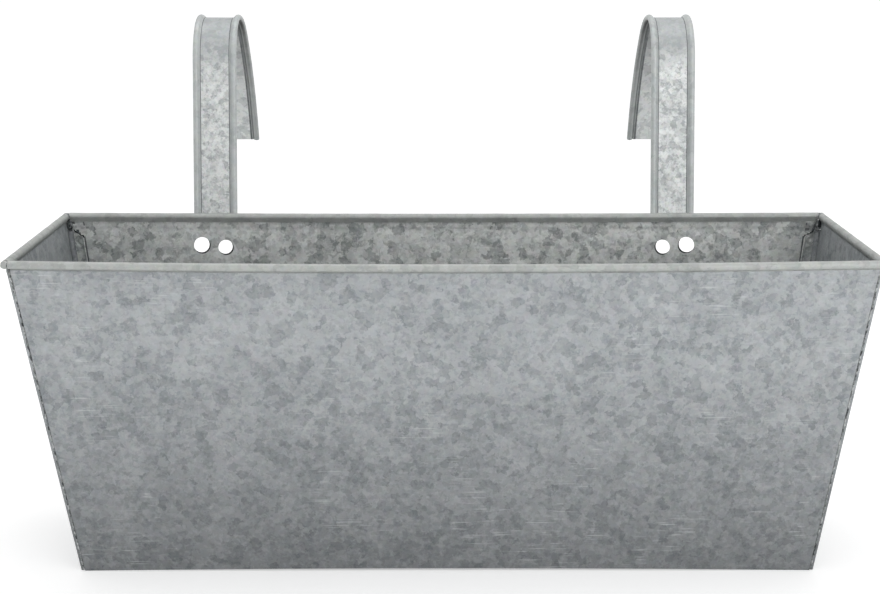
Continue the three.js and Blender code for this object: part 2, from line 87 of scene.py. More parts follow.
def length(name, description, millimetres):
    """A length that a user can change."""
    default = millimetres * MM
    return FloatProperty(name=name, description=description, default=default, min=0.0, unit="LENGTH")


def turn(name, description, degrees):
    """An angle that a user can change."""
    default = math.radians(degrees)
    return FloatProperty(name=name, description=description, default=default, subtype="ANGLE")


def amount(name, description, default, least=0.0):
    """A plain number that a user can change."""
    return FloatProperty(name=name, description=description, default=default, min=least)


def colour(name, description, hex_colour):
    """A colour that a user can change."""
    fields = {"default": linear(hex_colour), "min": 0.0, "max": 1.0, "size": 3, "subtype": "COLOR"}
    return FloatVectorProperty(name=name, description=description, **fields)


# -- Sizes and colours that a user would change ------------------------------------------------


class TroughSettings(bpy.types.PropertyGroup):
    """Sheet, rolled rim, corner laps and base of the trough."""

    sheet: length("Sheet", "Thickness of the sheet", 0.7)
    seat: length("Seat", "Gap between pieces that lie on each other", 0.3)
    rim_wire: length("Rim wire", "Diameter of the rim's wire", 4.0)
    over_long: length("Over long wall", "How far the rim wire juts past a long wall's inside", 0.9)
    over_end: length("Over end wall", "How far the rim wire juts past an end wall's inside", 0.0)
    back_inset: length("Back inset", "How far the back wall is set in under its roll", 0.6)
    neck: length("Neck", "Height of the lean-in below the roll", 0.75)
    lip: length("Lip", "Swell of the sheet below the neck", 0.3)
    curl_long: turn("Curl, long", "Where the edge of a long wall's roll ends", -88)
    curl_end: turn("Curl, end", "Where the edge of an end wall's roll ends", -80)
    wire_bend: length("Wire bend", "Centre-line radius of the rim wire's bends", 3.0)
    wrap: length("Wrap", "How far a roll follows the wire into a bend", 0.8)
    front_reveal: length("Front reveal", "How far the front wall stops short of a corner", 3.2)
    back_reveal: length("Back reveal", "How far the back wall stops short of a corner", 2.4)
    front_fold: length("Front fold", "Radius of the end walls' front folds", 0.9)
    back_fold: length("Back fold", "Radius of the end walls' back folds", 4.4)
    flange_width: length("Flange width", "Width of the end walls' flanges", 12)
    flange_top_corner: length("Flange top, corner", "From the rim down to a flange's fold", 12.4)
    flange_top_edge: length("Flange top, edge", "From the rim down to its free edge", 18.6)
    flange_foot: length("Flange foot", "Height where a flange starts, above the tray's", 13.2)
    flange_lift: length("Flange lift", "How far a free edge springs off the wall", 1.6)
    crumple: length("Crumple", "Depth of the hammered creases", 1.7)
    foot_gap: length("Foot gap", "Height of the walls' lower edge", 0.05)
    foot_out: length("Foot out", "How far the end walls' feet are sprung out", 0.4)
    foot_skew: length("Foot skew", "How far the foot has racked to the right", 1.9)
    tray_flange: length("Tray flange", "Height of the tray's upturned edge", 12)
    tray_fold: length("Tray fold", "Radius of the tray's folds", 1.5)
    tray_slot: length("Tray slot", "How far those edges stop short of a corner", 6)
    drain_hole: length("Drain hole", "Diameter of a drain hole", 10)
    drain_pitch: length("Drain pitch", "Distance between two drain holes", 150)
    dent: length("Dents", "Depth of the slow dents in the walls", 0.5)
    bead_dent: length("Rim dents", "How far the rim is pressed in by hand", 0.25)
    front_lift: length("Front lift", "How far the front rim's ends sprang up", 1.1)
    front_sag: length("Front sag", "How far the front rim hangs between them", 2.6)
    back_lift: length("Back lift", "How far the back rim's ends sprang up", 0.5)
    back_sag: length("Back sag", "How far the back rim hangs between them", 0.8)
    foot_hollow: length("Foot hollow", "How far the foot's middle clears the ground", 1.75)


class HookSettings(bpy.types.PropertyGroup):
    """The two strap hooks and what fastens them."""

    spacing: length("Spacing", "Distance between the two hooks", 361)
    width: length("Width", "Width over the rolled edges", 34.4)
    thickness: length("Thickness", "Thickness of the strap", 0.8)
    wire: length("Wire", "Diameter of the edges' wires", 2.6)
    wire_offset: length("Wire offset", "How far the wires lie outside the strap's middle", 0.4)
    neck: length("Neck", "Width of the lean-in beside a roll", 0.6)
    curl_end: turn("Curl end", "Where an edge roll ends", -72)
    to_rim: length("To rim", "Gap between the edge rolls and the rim's", 0.5)
    lean: turn("Lean", "How far the arm leans back", 10)
    arm: length("Arm", "Length of the straight arm above the rim wire", 123)
    front_radius: length("Front radius", "Radius of the arch at the arm", 36)
    back_radius: length("Back radius", "Radius of the arch past its top", 63)
    back_turn: turn("Back turn", "Angle of that second bend", 40)
    leg_radius: length("Leg radius", "Radius of the slow curve of the leg", 240)
    leg_turn: turn("Leg turn", "Angle of the leg's curve", 29)
    roll_tail: length("Roll tail", "How far below the rim wire the edge rolls start", 3)
    tongue_width: length("Tongue width", "Width of the flat tongue", 46)
    tongue_end: length("Tongue end", "Height of the tongue's lower end", 128)
    tongue_round: length("Tongue round", "Radius of its lower corners", 14)
    joggle_top: length("Joggle top", "How far below the rim wire the S-bend starts", 3.4)
    joggle_bottom: length("Joggle bottom", "How far below the rim wire it ends", 14.4)
    joggle_handle: length("Joggle handle", "Stiffness of the S-bend at either end", 4.5)
    hole_outer: length("Outer hole", "Diameter of the outboard tie hole", 13.1)
    hole_inner: length("Inner hole", "Diameter of the inboard tie hole", 12.1)
    hole_spacing: length("Hole spacing", "Distance between a pair's holes", 18.7)
    holes_outboard: length("Holes outboard", "How far a pair lies outboard of the hook's middle", 0.9)
    hole_outer_drop: length("Outer drop", "How far the outboard hole lies below the rim", 25.3)
    hole_inner_drop: length("Inner drop", "How far the inboard hole lies below the rim", 26.9)
    hole_undersize: length("Hole undersize", "How much smaller the tongue's holes are", 0.3)
    hole_misfit: length("Hole misfit", "How far the tongue's holes lie outboard and up", 0.8)
    rivet_head: length("Rivet head", "Diameter of a rivet's head", 8.4)
    rivet_rise: length("Rivet rise", "Height of a rivet's head", 1.7)
    rivet_shank: length("Rivet shank", "Diameter of a rivet's shank", 4.0)
    rivet_pitch: length("Rivet pitch", "Distance between the upper rivets", 24)
    rivet_upper: length("Upper rivets", "Height of the upper rivets", 168)
    rivet_lower: length("Lower rivet", "Height of the lower rivet", 144)


class FinishSettings(bpy.types.PropertyGroup):
    """Colours of the zinc, from its palest grains to its darkest."""

    wall_light: colour("Wall, pale", "Palest spangle of the walls", "#b8bbbd")
    wall_dark: colour("Wall, dark", "Darkest spangle of the walls", "#898e91")
    rim_light: colour("Rim, pale", "Pale zinc on the rolled rim", "#bec1be")
    rim_dark: colour("Rim, dark", "Dull zinc on the rolled rim", "#a1a4a2")
    back_light: colour("Back, pale", "Palest spangle of the back wall", "#d6d8d6")
    back_dark: colour("Back, dark", "Darkest spangle of the back wall", "#8d9190")
    strap_light: colour("Strap, pale", "Palest spangle of the hooks", "#e8eae9")
    strap_dark: colour("Strap, dark", "Darkest spangle of the hooks", "#abafb0")
    edge_light: colour("Strap edge, pale", "Pale zinc on the hooks' rolls", "#ccd0cf")
    edge_dark: colour("Strap edge, dark", "Dull zinc on the hooks' rolls", "#b0b5b5")
    frost: colour("Frost", "White zinc specks and fresh scratches", "#eef1f0")
    wire_light: colour("Wire, pale", "Bright zinc on the drawn wire", "#c6c9c9")
    wire_dark: colour("Wire, dark", "Dull zinc on the drawn wire", "#8d9192")
    solder_light: colour("Solder, pale", "Worn tops of the solder", "#939797")
    solder_dark: colour("Solder, dark", "Flux-stained hollows of the solder", "#3c3f41")
    # This near-black colour is painted shadow under the back flanges' lifted top edges, and also
    # darkens the hidden faces of the hooks' tongues
    stain: colour("Stain", "Zinc blackened by acid trapped in a lap", "#34383a")


class StudioSettings(bpy.types.PropertyGroup):
    """Light, floor and camera."""

    sky: amount("Sky", "Strength of the even light from all round", 0.75)
    key: amount("Key", "Power of the softbox above the camera, in watts", 3.5)
    top: amount("Top", "Power of the softbox overhead, in watts", 4.0)
    glow: amount("Glow", "What the floor's white adds to its light", 0.36)
    floor: colour("Floor", "Pale studio floor", "#f4f4f4")
    lens: amount("Lens", "Focal length on a 36 mm sensor, in mm", 64.85, 1.0)
    pitch: turn("Pitch", "How far the camera looks down", 13.326)
    yaw: turn("Yaw", "How far the camera is turned to the right", 0.11)


# -- Meshes ------------------------------------------------------------------------------------


def add_rows(bm, rows, closed):
    """Faces between rows of new points, which all hold as many points. Returns the points."""
    verts = [[bm.verts.new(point) for point in row] for row in rows]
    count = len(rows[0])
    for lower, upper in zip(verts, verts[1:]):
        for i in range(count if closed else count - 1):
            j = (i + 1) % count
            bm.faces.new((lower[i], lower[j], upper[j], upper[i]))
    return verts


def add_grid(bm, rows):
    """An open sheet."""
    add_rows(bm, rows, False)


def add_tube(bm, rings):
    """A closed skin round a row of rings, with both ends filled."""
    verts = add_rows(bm, rings, True)
    bm.faces.new(verts[0][::-1])
    bm.faces.new(verts[-1])


def add_object(name, bm):
    """An object with the mesh that bm holds."""
    mesh = bpy.data.meshes.new(name)
    bm.to_mesh(mesh)
    bm.free()
    made = bpy.data.objects.new(name, mesh)
    bpy.context.scene.collection.objects.link(made)
    return made


def keep_modified(piece):
    """Turns a piece's modifiers into its mesh."""
    evaluated = piece.evaluated_get(bpy.context.evaluated_depsgraph_get())
    settled = bpy.data.meshes.new_from_object(evaluated)
    rough = piece.data
    piece.modifiers.clear()
    piece.data = settled
    bpy.data.meshes.remove(rough)


def make_piece(form, name, bm, material, node, sheet=0.0, cores=(), others=()):
    """One piece of the object, in place of a node of the frame.

    sheet is its thickness if bm holds only its middle surface, and cores cut its holes. others holds
    pairs of a further material and a test that picks its faces, and the last true test counts.
    """
    bmesh.ops.remove_doubles(bm, verts=bm.verts, dist=WELD)
    bmesh.ops.recalc_face_normals(bm, faces=bm.faces)
    piece = add_object(name, bm)
    if sheet:
        solid = piece.modifiers.new("thickness", "SOLIDIFY")
        solid.thickness = sheet
        solid.offset = 0.0
        solid.use_even_offset = True
    for core in cores:
        cut = piece.modifiers.new("hole", "BOOLEAN")
        cut.operation = "DIFFERENCE"
        cut.solver = "EXACT"
        cut.object = core
    bpy.context.view_layer.update()
    keep_modified(piece)
    for core in cores:
        bpy.data.objects.remove(core)
    piece.data.materials.clear()
    piece.data.materials.append(material)
    for index, (other, picked) in enumerate(others, 1):
        piece.data.materials.append(other)
        for face in piece.data.polygons:
            if picked(face.center, face.normal):
                face.material_index = index
    for vertex in piece.data.vertices:
        vertex.co = form.settled(vertex.co)
    piece.data.shade_smooth()
    piece.data.set_sharp_from_angle(angle=SHARP_ANGLE)
    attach(piece, BODY)
    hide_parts(node)


def steps(low, high, step):
    """Evenly spaced values from low to high, at most a step apart."""
    count = max(1, math.ceil(abs(high - low) / step - 1e-6))
    return [low + (high - low) * i / count for i in range(count + 1)]


def round_steps(degrees):
    """Angles once round, so many degrees apart."""
    return steps(0, 2 * math.pi, math.radians(degrees))[:-1]


def polar(radius, angle):
    """A point of a plane, so far from its origin in one direction."""
    return Vector((math.cos(angle), math.sin(angle))) * radius


def blend(low, high, share):
    """low up to a share of 0, high from 1 on, and evenly from one to the other between."""
    return low + (high - low) * min(1.0, max(0.0, share))


def drill(diameter, placing):
    """A cutter for a round hole, whose axis is the +Y axis that placing turns and moves."""
    reach = 8 * MM
    bm = bmesh.new()
    circle = [polar(diameter / 2, angle) for angle in round_steps(7.5)]
    add_tube(bm, [[Vector((p.x, y, p.y)) for p in circle] for y in (-reach, reach)])
    bmesh.ops.recalc_face_normals(bm, faces=bm.faces)
    bm.transform(placing)
    return add_object("core", bm)


def dent_at(point, depth):
    """Slow hand-made dents: swells about 120 mm apart, with lesser ones between."""
    slow = noise.noise(point / (120 * MM))
    quick = noise.noise(point / (38 * MM) + Vector((7.3, 1.9, 4.1)))
    return depth * (0.8 * slow + 0.2 * quick)


def crease_at(point):
    """Sharp creases about 5 mm apart, from -1 to 1."""
    return 1 - 2 * min(1.0, 2.2 * abs(noise.noise(point / (5 * MM))))


def ripple(*place):
    """Smooth noise from -1 to 1 at a place, in sizes of the noise. Some of its numbers are seeds."""
    return noise.noise(Vector(place))


# -- Form of the trough ------------------------------------------------------------------------


def reach_at_foot(node, axis):
    """How far a wall's outer face stands from the middle at its own foot."""
    points = [v.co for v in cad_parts[node].data.vertices]
    foot = min(p.z for p in points)
    return max(abs(p[axis]) for p in points if p.z < foot + 0.05 * MM)


class TroughForm:
    """Where the walls stand, read from the frame."""

    def __init__(self, settings):
        self.settings = settings
        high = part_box("rim_wire")[1]
        self.wire_radius = settings.rim_wire / 2
        self.wire_x, self.wire_y, self.wire_z = (v - self.wire_radius for v in high)
        self.roll_radius = self.wire_radius + settings.seat + settings.sheet / 2
        self.roll_outside = self.roll_radius + settings.sheet / 2
        self.rim_height = self.wire_z + self.roll_outside
        self.foot = settings.foot_gap
        self.frame_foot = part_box("front_panel")[0].z
        rise = self.wire_z - self.frame_foot
        self.foot_x = reach_at_foot("left_end_panel", 0) + settings.foot_out
        self.foot_y = reach_at_foot("front_panel", 1)
        self.slope_x = (self.wire_x + settings.sheet - settings.over_end - self.foot_x) / rise
        self.slope_y = (self.wire_y + settings.sheet - settings.over_long - self.foot_y) / rise
        self.back_lean = math.atan(self.slope_y)
        # Height where a wall starts to lean in under its roll
        self.neck_height = self.wire_z - self.roll_outside - settings.neck

    def outer_x(self, z):
        """Outer face of an end wall at a height."""
        return self.foot_x + self.slope_x * (z - self.frame_foot)

    def outer_y(self, z):
        """Outer face of a long wall at a height."""
        return self.foot_y + self.slope_y * (z - self.frame_foot)

    def on_roll(self, centre, normal):
        """Whether a face is part of a wall's roll or of its neck."""
        return centre.z > self.neck_height

    def end_line(self):
        """Middle line of an end wall, as wall_line gives it."""
        s = self.settings
        return wall_line(self, self.outer_x, self.wire_x, self.slope_x, s.over_end, s.curl_end, 0.0)

    def long_line(self, side):
        """Middle line of the front (-1) or back wall, as wall_line gives it."""
        s = self.settings
        inset = s.back_inset if side > 0 else 0.0
        over, curl = s.over_long, s.curl_long
        return wall_line(self, self.outer_y, self.wire_y, self.slope_y, over, curl, inset)

    def fold(self, side):
        """Radius of the end walls' folds at the front (-1) or the back."""
        return self.settings.front_fold if side < 0 else self.settings.back_fold

    def reveal(self, side):
        """How far the front (-1) or back wall stops short of a corner."""
        return self.settings.front_reveal if side < 0 else self.settings.back_reveal

    def lap_x(self, z):
        """Outer face of the base tray's end flanges."""
        return self.outer_x(z) - self.settings.sheet - self.settings.seat

    def lap_y(self, z):
        """Outer face of a flange, which lies inside a long wall."""
        return self.outer_y(z) - self.settings.sheet - self.settings.seat

    def flange_top(self, width):
        """Height of a flange's top edge, so far in from the corner."""
        s = self.settings
        return self.rim_height - blend(s.flange_top_corner, s.flange_top_edge, width / s.flange_width)

    def settled(self, point):
        """A point after the trough has settled: rims hang between their ends, the foot is hollow."""
        s = self.settings
        share = point.x / self.outer_x(min(point.z, self.wire_z))
        inward = max(0.0, 1 - share * share)
        back = (point.y / self.wire_y + 1) / 2
        rim = blend(s.front_lift, s.back_lift, back) - blend(s.front_sag, s.back_sag, back) * inward
        high = point.z / self.wire_z
        skew = blend(s.foot_skew, 0.0, high)
        lift = blend(s.foot_hollow * inward, rim, high)
        return Vector((point.x + skew, point.y, point.z + lift))


def rolled_line(radius, thickness, plane, slope, neck, end):
    """Middle line of a sheet's edge rolled over a wire, about the wire's centre.

    The sheet comes up along y, with its middle at plane + slope * y, and the roll's own edge comes
    back on the side that x points to.
    """
    neck_y = -(radius + thickness / 2 + neck)
    corner = Vector((plane + slope * neck_y, neck_y))
    heading = math.atan2(corner.y, corner.x) % (2 * math.pi)
    start = heading - math.acos(radius / corner.length)
    rise = Vector((slope, 1)).normalized()
    touch = polar(radius, start)
    lean = (touch - corner).normalized()
    soft = 0.35 * (touch - corner).length
    before, after = corner - rise * soft, corner + lean * soft
    bend = [before.lerp(corner, t).lerp(corner.lerp(after, t), t) for t in (0, 0.25, 0.5, 0.75, 1)]
    return bend + [polar(radius, angle) for angle in steps(start, end, ROLL_STEP)]


def wall_line(form, outer_at, wire_out, slope, wire_over, curl, inset):
    """Middle line of a wall from its foot up: (place out, height, whether it is rolled).

    inset is how far the sheet is set in between the flanges' tops and the roll.
    """
    s = form.settings
    plane = s.sheet / 2 - wire_over - inset
    roll = rolled_line(form.roll_radius, s.sheet, plane, slope, s.neck, curl)
    bend = 5  # points of the neck's bend
    top = form.wire_z + roll[0].y
    creased = top - CREASED_HEIGHT
    heights = steps(form.foot, creased, SHEET_STEP)[:-1] + steps(creased, top, CREASE_STEP)[:-1]
    low = form.flange_top(0)
    flat = []
    for z in heights:
        flat.append((outer_at(z) - s.sheet / 2 - blend(0, inset, (z - low) / (top - low)), z, False))
    return flat + [(wire_out + p.x, form.wire_z + p.y, i >= bend) for i, p in enumerate(roll)]


def along_steps(half):
    """Shares of a wall's half length from end to end, closer together at the creased ends."""
    creased = 1 - CREASED_LENGTH / half
    right = steps(0, creased, SHEET_STEP / half) + steps(creased, 1, CREASE_STEP / half)[1:]
    return [-share for share in reversed(right[1:])] + right


def rolled_reach(form, wire_along, wire_across, out):
    """How far a roll runs towards a corner: cut square, and mitred against the other roll."""
    s = form.settings
    return min(wire_along - s.wire_bend + s.wrap, wire_along - s.seat - (wire_across - out))


def shaped(form, out, z, rolled, along, share, wire_out, seed):
    """A wall's point, moved out by dents and by the lip, or pressed in on the roll."""
    s = form.settings
    if rolled:
        pressed = s.bead_dent * (0.5 + 0.5 * ripple(along / (16 * MM), seed, 0))
        hub = Vector((wire_out, form.wire_z))
        return hub + (Vector((out, z)) - hub) * (1 - pressed / form.roll_radius)
    calm = (1 - share**4) * min(1, (z - form.foot) / (25 * MM))
    near_rim = min(1, max(0, (form.wire_z - 5 * MM - z) / (30 * MM)))
    dent = dent_at(Vector((along, seed, z)), s.dent) * calm * near_rim
    below_neck = (form.neck_height - 1.6 * MM - z) / (1.3 * MM)
    lip = s.lip * math.exp(-(below_neck**2)) * (0.6 + 0.4 * ripple(along / (11 * MM), seed, 3))
    return Vector((out + dent + lip, z))


def hammered(form, z, from_end, along, seed):
    """How deep the sheet is creased at a height, and so far from a corner."""
    below = form.wire_z - form.roll_radius - z
    high = min(1, max(0, below / (2 * MM))) * math.exp(-max(0, below) / (9 * MM))
    near = math.exp(-from_end / (7 * MM)) * min(1, from_end / (1.5 * MM))
    return form.settings.crumple * high * near * crease_at(Vector((along, seed, z)))


# -- Materials ---------------------------------------------------------------------------------


def add_node(tree, kind, inputs, **fields):
    """Adds a node with its fields, sets or links its inputs, and returns the node."""
    node = tree.nodes.new(kind)
    for field, value in fields.items():
        setattr(node, field, value)
    for key, value in inputs.items():
        if isinstance(value, bpy.types.NodeSocket):
            tree.links.new(value, node.inputs[key])
        else:
            node.inputs[key].default_value = value
    return node


def new_material(name):
    """An empty material and its node tree."""
    material = bpy.data.materials.new(name)
    material.use_nodes = True
    material.node_tree.nodes.clear()
    return material, material.node_tree


def seen_directly(tree):
    """1 for what the camera sees, also in metal or through glass, and 0 for scattered light."""
    path = add_node(tree, "ShaderNodeLightPath", {})
    seen = path.outputs["Is Camera Ray"]
    for ray in ("Is Glossy Ray", "Is Transmission Ray"):
        both = {0: seen, 1: path.outputs[ray]}
        seen = add_node(tree, "ShaderNodeMath", both, operation="MAXIMUM").outputs[0]
    return seen


# How each kind of zinc looks: its pale and dark tint, the size of its larger grains and the depth of
# its relief in mm, its roughness, and what else differs from spangled_zinc's defaults
ZINC = {
    # Dull, weathered, dip-coated sheet: even grains, painted shade that darkens it towards the foot,
    # and a few bright scratches
    "hot_dip_galvanised_sheet": (
        "wall", 6, 0.03, 0.55, {"contrast": 0.77, "frost": 0.06, "scratches": 0.22, "foot": 0.53}
    ),
    # The same sheet inside the trough, where no weather has evened out its grains
    "sheltered_galvanised_sheet": ("back", 7, 0.04, 0.55, {"frost": 0.2, "scratches": 0.2}),
    # Painted shade: a darker copy of the walls' zinc, in the deepest creases, the hollow of a fold,
    # beside a flange's free edge and along a hook's rolls
    "grimy_galvanised_sheet": ("wall", 5, 0.04, 0.6, {}),
    # A rolled edge: its grains are drawn out smooth, and handling has dulled it
    "rolled_galvanised_edge": ("rim", 7, 0.02, 0.5, {"contrast": 0.8, "metal": 0.4}),
    # Brighter strip with small frosty grains, smooth where the arch was drawn round, with painted
    # shade on faces that look down
    "hot_dip_galvanised_strip": (
        "strap", 4, 0.04, 0.58, {"frost": 0.42, "calm_from": 345 * MM, "under": 0.2}
    ),
    # Near-black zinc: painted shadow under the back flanges' lifted top edges, and the dark hidden
    # faces of the hooks' tongues
    "flux_stained_zinc": ("stain", 4, 0.04, 0.6, {}),
    # Drawn wire, dipped: too thin to show grains, so the pattern is only a fine cloud
    "galvanised_drawn_wire": ("wire", 2, 0.01, 0.38, {}),
    # Tin-lead solder, wiped by hand: lumpy, dull and stained by flux
    "wiped_soft_solder": ("solder", 3, 0.15, 0.55, {"contrast": 1.6, "frost": 0.4}),
}


def zinc(name, offset, share=1.0, tint="", **changes):
    """A material from the table, at a share of its brightness, or in another piece's tint."""
    kind, grain, relief, roughness, fields = ZINC[name]
    kind = tint or kind
    finish = bpy.context.scene.planter_finish
    if kind == "stain":
        light, dark = finish.stain, [0.5 * v for v in finish.stain]
    else:
        light, dark = (getattr(finish, f"{kind}_{end}") for end in ("light", "dark"))
    light, dark = ((*(share * v for v in tone), 1.0) for tone in (light, dark))
    return spangled_zinc(
        name, light, dark, grain * MM, relief * MM, roughness, offset, **{**fields, **changes}
    )


def spangled_zinc(
    name,
    light,
    dark,
    grain,
    relief,
    roughness,
    offset,
    contrast=1.0,
    frost=0.0,
    scratches=0.0,
    calm_from=1.0,
    foot=1.0,
    under=1.0,
    metal=0.7,
):
    """Zinc that froze in grains, so that each patch takes the light by itself, under a dull patina.

    offset moves the pattern, so that two sheets never match at a fold. frost and scratches say how
    strongly white bloom and bright scratches show. Above calm_from the pattern is drawn smooth and
    its frost is gone. foot is how bright the zinc is at the foot, a painted shade that darkens the
    sheet towards the bottom, and under is how bright it is where it faces down, a painted shade on
    downward faces. metal is the share of bare metal.
    """
    material, tree = new_material(name)

    def vector(operation, inputs):
        return add_node(tree, "ShaderNodeVectorMath", inputs, operation=operation).outputs[0]

    def weigh(value, weight, rest):
        """weight * value + rest."""
        inputs = {0: value, 1: weight, 2: rest}
        return add_node(tree, "ShaderNodeMath", inputs, operation="MULTIPLY_ADD").outputs[0]

    def scaled(value, low, high, to_low=0.0, to_high=1.0):
        """A value's range turned into another one."""
        ends = {"Value": value, "From Min": low, "From Max": high, "To Min": to_low, "To Max": to_high}
        return add_node(tree, "ShaderNodeMapRange", ends).outputs[0]

    def clouds(place, size, detail=3.0):
        """Soft values about 0.5, with three more of them as a colour."""
        inputs = {"Vector": place, "Scale": 1 / size, "Detail": detail, "Roughness": 0.65}
        return add_node(tree, "ShaderNodeTexNoise", inputs).outputs

    def cells(place, size):
        """A random colour for each cell."""
        inputs = {"Vector": place, "Scale": 1 / size}
        return add_node(tree, "ShaderNodeTexVoronoi", inputs).outputs["Color"]

    def parts(colours):
        return add_node(tree, "ShaderNodeSeparateColor", {0: colours}).outputs

    def height_of(place):
        return add_node(tree, "ShaderNodeSeparateXYZ", {0: place}).outputs[2]

    def centred(colours, reach, rest):
        """Colours about the middle, times reach, plus rest."""
        middle = vector("SUBTRACT", {0: colours, 1: (0.5,) * 3})
        return vector("MULTIPLY_ADD", {0: middle, 1: (reach,) * 3, 2: rest})

    def mixed(share, low, high):
        inputs = {0: share, 6: low, 7: high}
        return add_node(tree, "ShaderNodeMix", inputs, data_type="RGBA").outputs[2]

    place = add_node(tree, "ShaderNodeTexCoord", {}).outputs["Object"]
    height_up = height_of(place)
    moved = vector("ADD", {0: place, 1: offset})
    pushed = centred(clouds(moved, 0.5 * grain, 1.0)["Color"], 0.8 * grain, moved)
    large = cells(pushed, grain)
    large_value, _, large_rough = parts(large)
    small_value = parts(cells(pushed, grain / 2.6))[0]
    fine = clouds(moved, 0.22 * grain)["Fac"]

    # Most grains are pale and alike, and some are darker
    tone = weigh(scaled(large_value, 0.15, 0.5), 0.44, -1.257)
    tone = weigh(scaled(small_value, 0.1, 0.5), 0.34, tone)
    tone = weigh(fine, 0.4, tone)
    tone = weigh(clouds(moved, 6 * grain, 2.0)["Fac"], 1.0, tone)
    strength = scaled(height_up, calm_from, calm_from + 25 * MM, contrast, 0.3 * contrast)
    middle = scaled(height_up, calm_from, calm_from + 20 * MM, 0.5, 0.1)
    tint = mixed(weigh(tone, strength, middle), dark, light)
    hue = centred(clouds(moved, 0.8 * grain, 2.0)["Color"], 0.16 * contrast, (1.0, 1.0, 1.0))
    tint = vector("MULTIPLY", {0: tint, 1: hue})
    normal = add_node(tree, "ShaderNodeNewGeometry", {}).outputs["Normal"]
    # Painted shade: darker where a face looks down, and towards the foot
    underside_shade = scaled(height_of(normal), -0.9, -0.5, under, 1.0)
    painted_shade = weigh(underside_shade, scaled(height_up, 0.0, 170 * MM, foot, 1.0), 0.0)
    tint = vector("SCALE", {0: tint, 3: painted_shade})

    # White bloom in patches of 2 to 4 mm
    specks = scaled(clouds(moved, 5 * MM, 2.0)["Fac"], 0.51, 0.60)
    specks = weigh(specks, scaled(height_up, calm_from, calm_from + 10 * MM, frost, 0.0), 0.0)
    # Scratches 0.6 mm high and up to 20 mm long, in patches
    stretched = vector("MULTIPLY", {0: moved, 1: (0.045, 0.045, 1.0)})
    lines = scaled(clouds(stretched, 1.1 * MM, 1.0)["Fac"], 0.62, 0.70)
    patches = scaled(clouds(moved, 55 * MM, 2.0)["Fac"], 0.54, 0.62, 0.0, scratches)
    white = (*bpy.context.scene.planter_finish.frost, 1.0)
    tint = mixed(weigh(lines, patches, specks), tint, white)

    roughened = scaled(large_rough, 0.0, 1.0, roughness - 0.06, roughness + 0.07)
    tilted = vector("NORMALIZE", {0: centred(large, 0.10 * contrast, normal)})
    height = weigh(small_value, 0.3, fine)
    bumps = {"Height": height, "Strength": 0.5, "Distance": relief, "Normal": tilted}
    bump = add_node(tree, "ShaderNodeBump", bumps).outputs[0]
    skin = {"Base Color": tint, "Roughness": roughened, "Normal": bump, "Metallic": metal}
    surface = add_node(tree, "ShaderNodeBsdfPrincipled", skin).outputs[0]
    add_node(tree, "ShaderNodeOutputMaterial", {"Surface": surface})
    return material


def sheet_zinc(*offset):
    return zinc("hot_dip_galvanised_sheet", offset)


# share below 1 gives shaded copies of the rolled zinc and above 1 a lit copy, both painted, and under
# adds painted shade on faces that look down
def rolled_zinc(share=1.0, tint="rim", under=1.0):
    return zinc("rolled_galvanised_edge", (0.7, 0.2, 0.6), share, tint, under=under)


# A darker copy of the walls' zinc, at a share of its brightness, for painted shade in creases, folds
# and beside rolls
def shade_painted_zinc(share):
    return zinc("grimy_galvanised_sheet", (0.3, 0.8, 0.5), share)


def very_dark_zinc():
    return zinc("flux_stained_zinc", (0.1, 0.3, 0.2))


def wire_zinc():
    return zinc("galvanised_drawn_wire", (0, 0, 0))


# -- Operators ---------------------------------------------------------------------------------


